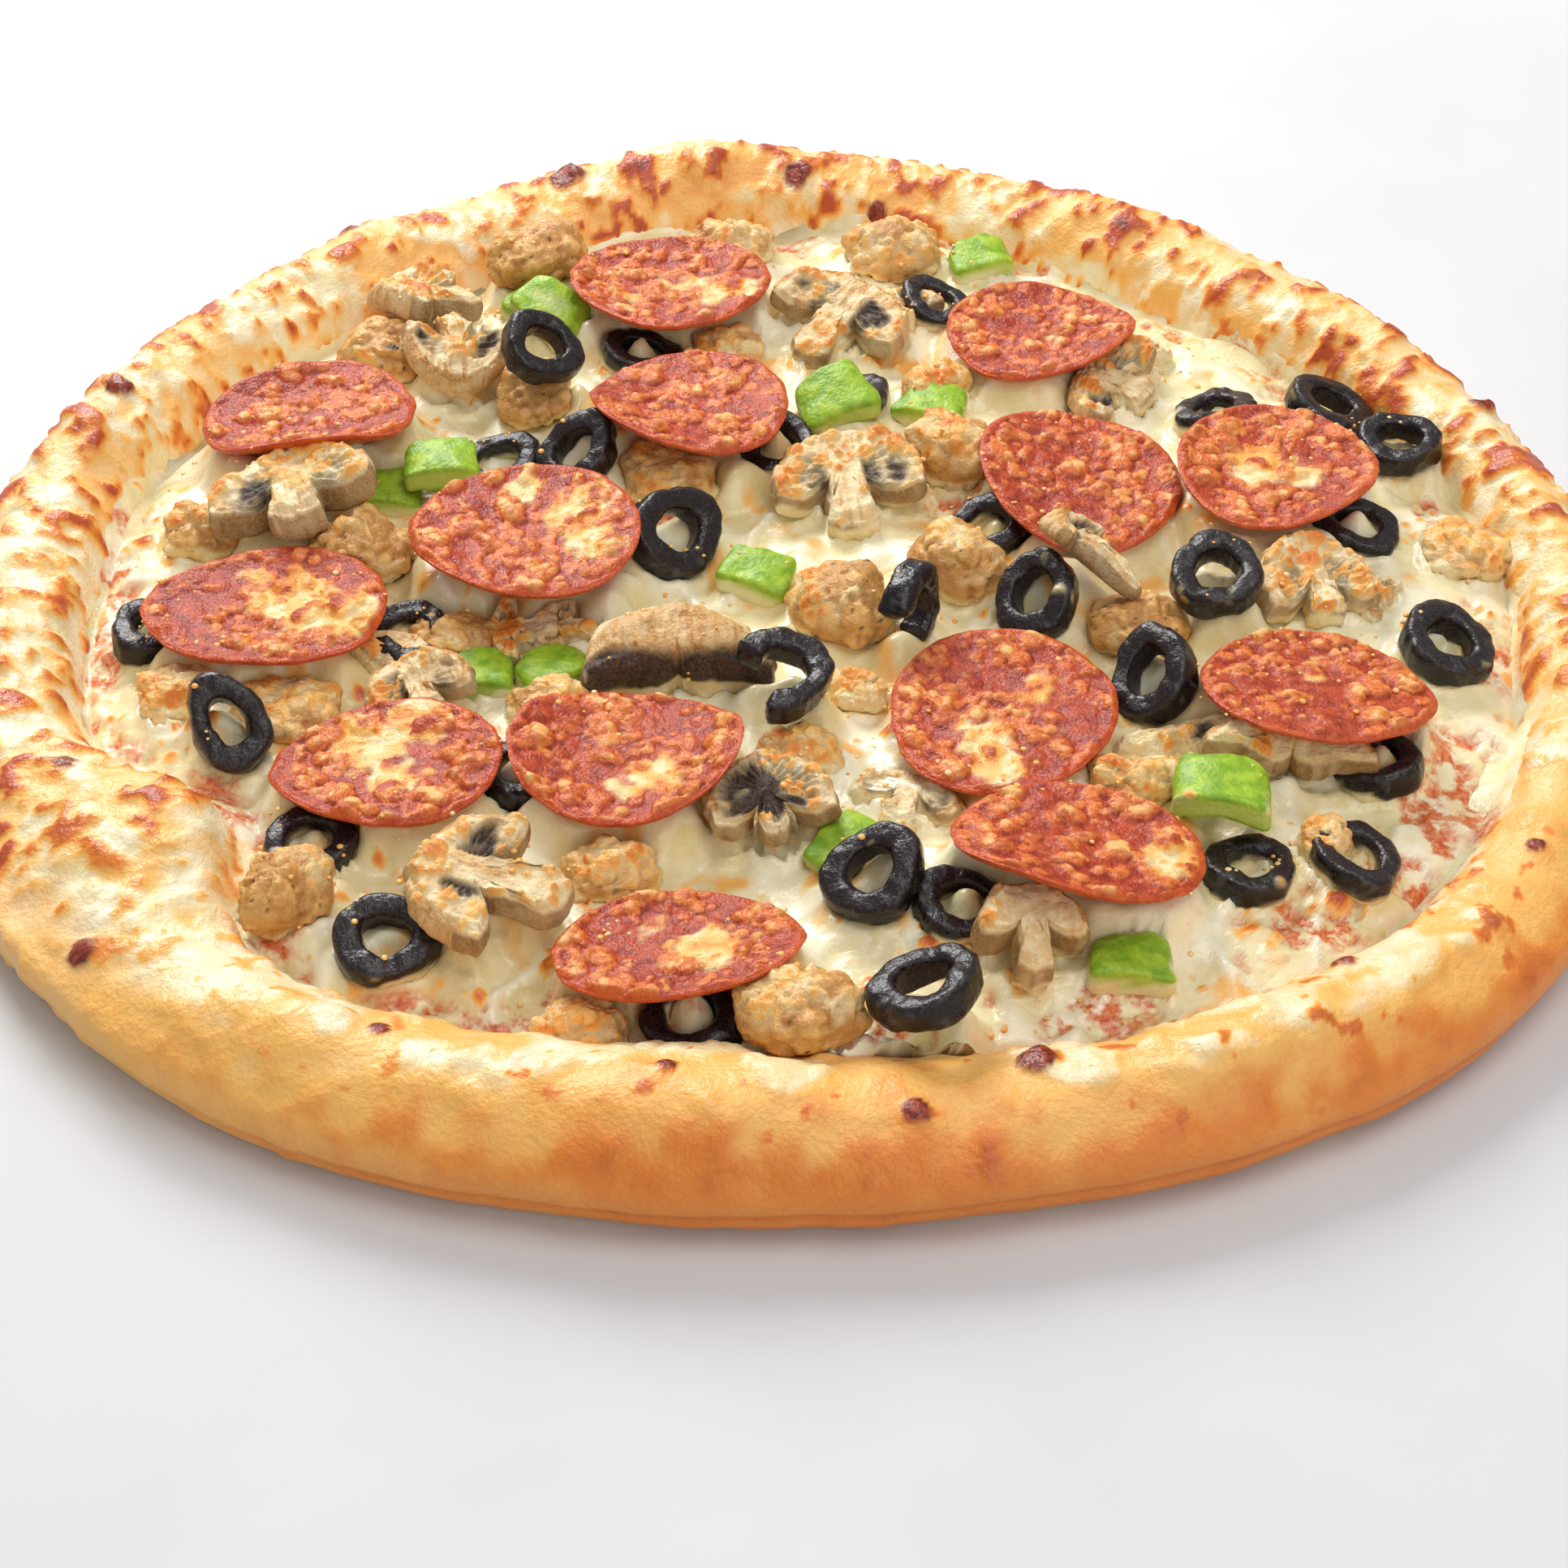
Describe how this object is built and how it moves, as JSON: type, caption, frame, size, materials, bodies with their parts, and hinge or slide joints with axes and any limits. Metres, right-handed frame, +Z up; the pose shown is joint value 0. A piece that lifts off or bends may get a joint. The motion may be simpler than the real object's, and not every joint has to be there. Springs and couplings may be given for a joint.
{
  "type": "supreme pizza",
  "caption": "Whole round pizza with a raised bubbled rim, melted cheese, pepperoni, mushroom slices, sausage, black olive rings and green pepper.",
  "frame": {"origin": "on the flat underside, at the middle of the bounding box's footprint", "axes": "+Z up out of the toppings, -Y towards the eater (the picture's camera side), +X to the eater's right"},
  "size_m": [0.3016, 0.3004, 0.0312],
  "materials": {
    "dough": "baked golden dough, satin",
    "cheese": "melted cheese, glossy with browned spots",
    "pepperoni": "baked pepperoni, oily",
    "olive": "black olive skin, satin",
    "sausage": "browned crumbly sausage",
    "mushroom": "baked mushroom",
    "pepper": "baked green pepper, glossy"
  },
  "bodies": {
    "root": {"crust": "dough", "cheese": "cheese", "mushroom_01": "mushroom", "mushroom_02": "mushroom", "mushroom_03": "mushroom", "mushroom_04": "mushroom", "mushroom_05": "mushroom", "mushroom_06": "mushroom", "mushroom_07": "mushroom", "mushroom_08": "mushroom", "mushroom_09": "mushroom", "mushroom_10": "mushroom", "mushroom_11": "mushroom", "mushroom_12": "mushroom", "mushroom_13": "mushroom", "mushroom_14": "mushroom", "olive_01": "olive", "olive_02": "olive", "olive_03": "olive", "olive_04": "olive", "olive_05": "olive", "olive_06": "olive", "olive_07": "olive", "olive_08": "olive", "olive_09": "olive", "olive_10": "olive", "olive_11": "olive", "olive_12": "olive", "olive_13": "olive", "olive_14": "olive", "olive_15": "olive", "olive_16": "olive", "pepper_01": "pepper", "pepper_02": "pepper", "pepper_03": "pepper", "pepper_04": "pepper", "pepperoni_01": "pepperoni", "pepperoni_02": "pepperoni", "pepperoni_03": "pepperoni", "pepperoni_04": "pepperoni", "pepperoni_05": "pepperoni", "pepperoni_06": "pepperoni", "pepperoni_07": "pepperoni", "pepperoni_08": "pepperoni", "pepperoni_09": "pepperoni", "pepperoni_10": "pepperoni", "pepperoni_11": "pepperoni", "pepperoni_12": "pepperoni", "pepperoni_13": "pepperoni", "pepperoni_14": "pepperoni", "sausage_01": "sausage", "sausage_02": "sausage", "sausage_03": "sausage", "sausage_04": "sausage", "sausage_05": "sausage", "sausage_06": "sausage", "sausage_07": "sausage", "sausage_08": "sausage", "sausage_09": "sausage", "sausage_10": "sausage"}
  },
  "joints": []
}
